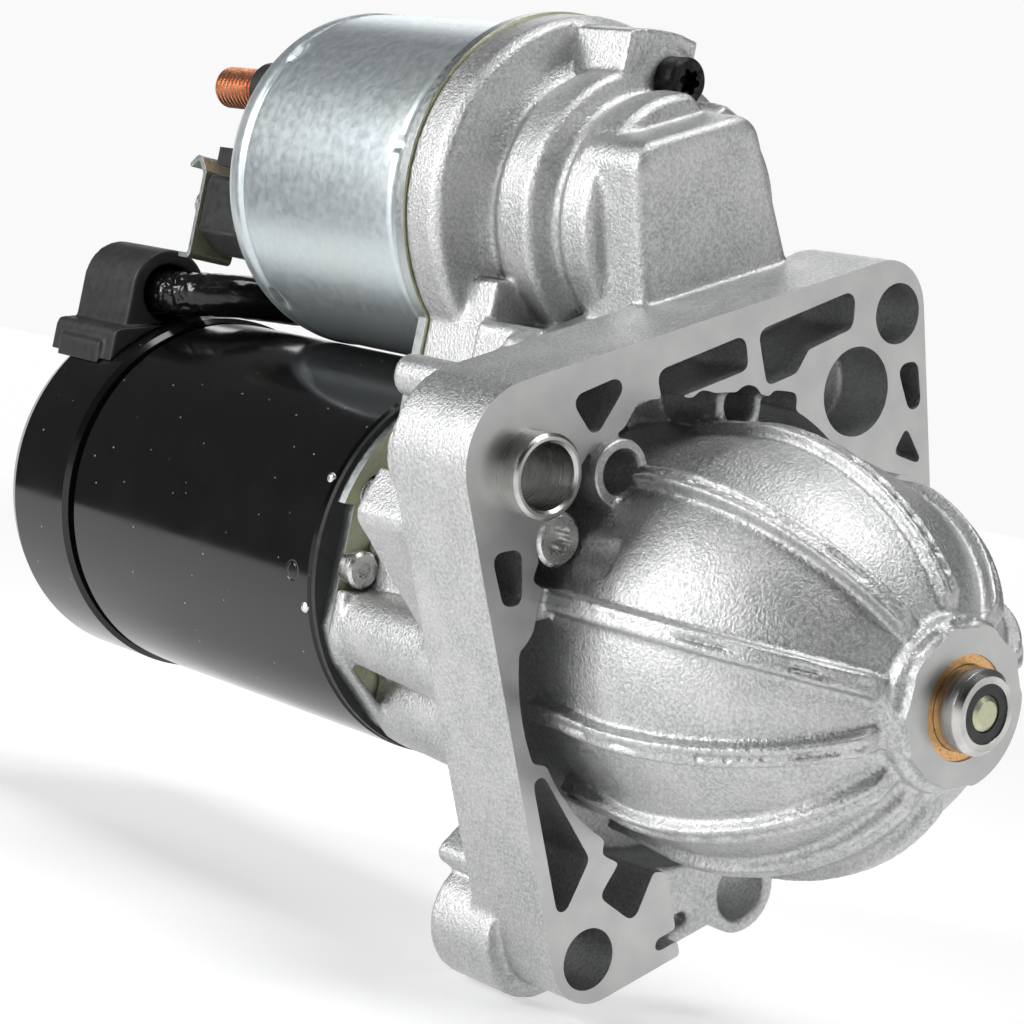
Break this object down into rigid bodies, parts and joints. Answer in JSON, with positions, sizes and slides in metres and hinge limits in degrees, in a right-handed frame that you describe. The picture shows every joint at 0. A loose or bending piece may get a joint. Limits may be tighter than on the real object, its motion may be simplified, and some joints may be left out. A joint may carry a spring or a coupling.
{
  "type": "starter motor",
  "caption": "Pre-engaged engine starter: cast flange with ribbed nose, black motor tube behind, zinc-plated solenoid on top, fork lever, planetary reduction and sliding pinion.",
  "frame": {"origin": "on the shaft axis where it crosses the machined face of the mounting flange", "axes": "-Y along the shaft towards the nose, +Y towards the rear of the motor, +Z from the shaft axis towards the solenoid axis"},
  "size_m": [0.1032, 0.2298, 0.1645],
  "materials": {
    "cast_aluminium": "sand-rough pressure die casting, machined flange face",
    "bronze": "sintered bronze",
    "machined_steel": "turned steel",
    "gear_steel": "hardened steel, lightly oiled",
    "laminated_steel": "stacked sheet steel",
    "spring_steel": "drawn spring wire",
    "chromated_steel": "yellow-green chromated zinc",
    "zinc_screw": "zinc plated",
    "zinc_case": "bright blue zinc plated deep-drawn can",
    "black_screw": "black phosphated",
    "black_paint": "gloss black paint",
    "gasket_rubber": "matt",
    "black_rubber": "satin moulded rubber",
    "black_ring": "satin",
    "lead_sleeve": "glossy sleeve over braid",
    "black_plastic": "moulded glass-filled plastic",
    "copper": "bare copper",
    "copper_wire": "enamelled copper wire",
    "magnet": "sintered ferrite",
    "carbon": "pressed copper-graphite"
  },
  "bodies": {
    "housing": {"drive_housing": "cast_aluminium", "nose_bush": "bronze", "dowel_bush": "machined_steel", "intermediate_plate": "chromated_steel", "motor_gasket": "gasket_rubber", "motor_body": "black_paint", "pole_magnets": "magnet", "rear_cover": "black_paint", "rear_bush": "bronze", "through_bolts": "zinc_screw", "plate_screw": "zinc_screw", "cross_screw": "zinc_screw", "solenoid_screws": "black_screw", "rubber_grommet": "black_rubber", "motor_lead": "lead_sleeve", "lead_lug": "copper", "solenoid_case": "zinc_case", "coil_bobbin": "black_plastic", "solenoid_coil": "copper_wire", "fixed_core": "machined_steel", "solenoid_cap": "black_plastic", "battery_stud": "copper", "motor_stud": "copper", "signal_stud": "zinc_screw", "spring_clip": "chromated_steel", "stud_nuts": "zinc_screw", "ring_gear": "gear_steel", "lever_pin": "machined_steel", "brush_holder": "black_plastic", "brushes": "carbon", "brush_springs": "spring_steel", "return_spring": "spring_steel", "contact_spring": "spring_steel"},
    "armature": {"armature_shaft": "machined_steel", "armature_core": "laminated_steel", "armature_winding": "copper_wire", "commutator": "copper", "sun_gear": "gear_steel"},
    "output_shaft": {"output_shaft": "machined_steel", "shaft_end_ring": "black_ring", "centre_pin": "chromated_steel", "stop_ring": "machined_steel", "planet_pins": "machined_steel"},
    "planet_1": {"planet_gear_1": "gear_steel"},
    "planet_2": {"planet_gear_2": "gear_steel"},
    "planet_3": {"planet_gear_3": "gear_steel"},
    "clutch": {"clutch_body": "machined_steel", "guide_ring": "black_plastic"},
    "pinion": {"pinion": "gear_steel"},
    "plunger": {"plunger": "machined_steel", "plunger_hook": "machined_steel"},
    "lever": {"fork_lever": "black_plastic"},
    "contact": {"contact_rod": "machined_steel", "contact_bridge": "copper"}
  },
  "joints": [
    {"name": "armature_spin", "type": "hinge", "parent": "housing", "child": "armature", "pos_m": [0, 0.1, 0], "axis": [0, 1, 0], "continuous": true},
    {"name": "output_spin", "type": "hinge", "parent": "housing", "child": "output_shaft", "pos_m": [0, 0, 0], "axis": [0, 1, 0], "continuous": true},
    {"name": "planet_1_spin", "type": "hinge", "parent": "output_shaft", "child": "planet_1", "pos_m": [0, 0.051, 0.0135], "axis": [0, 1, 0], "continuous": true},
    {"name": "planet_2_spin", "type": "hinge", "parent": "output_shaft", "child": "planet_2", "pos_m": [-0.01169, 0.051, -0.00675], "axis": [0, 1, 0], "continuous": true},
    {"name": "planet_3_spin", "type": "hinge", "parent": "output_shaft", "child": "planet_3", "pos_m": [0.01169, 0.051, -0.00675], "axis": [0, 1, 0], "continuous": true},
    {"name": "drive_slide", "type": "slide", "parent": "output_shaft", "child": "clutch", "axis": [0, -1, 0], "range_m": [0, 0.014]},
    {"name": "pinion_overrun", "type": "hinge", "parent": "clutch", "child": "pinion", "pos_m": [0, 0, 0], "axis": [0, 1, 0], "continuous": true},
    {"name": "plunger_slide", "type": "slide", "parent": "housing", "child": "plunger", "axis": [0, 1, 0], "range_m": [0, 0.01028], "stiffness_N_per_m": 700, "springref_m": -0.012, "deforming": ["return_spring"]},
    {"name": "lever_pivot", "type": "hinge", "parent": "housing", "child": "lever", "pos_m": [0, 0.028, 0.038], "axis": [-1, 0, 0], "range_deg": [0, 20.89]},
    {"name": "contact_slide", "type": "slide", "parent": "housing", "child": "contact", "axis": [0, 1, 0], "range_m": [0, 0.0022], "deforming": ["contact_spring"]}
  ],
  "couplings": [
    {"joint": "output_spin", "follows": "armature_spin", "ratio": 0.22222},
    {"joint": "planet_1_spin", "follows": "armature_spin", "ratio": -0.62222},
    {"joint": "planet_2_spin", "follows": "armature_spin", "ratio": -0.62222},
    {"joint": "planet_3_spin", "follows": "armature_spin", "ratio": -0.62222},
    {"joint": "drive_slide", "follows": "plunger_slide", "ratio": 1.361},
    {"joint": "lever_pivot", "follows": "plunger_slide", "rad_per_m": 35.445},
    {"joint": "contact_slide", "follows": "plunger_slide", "ratio": 0.21306}
  ]
}
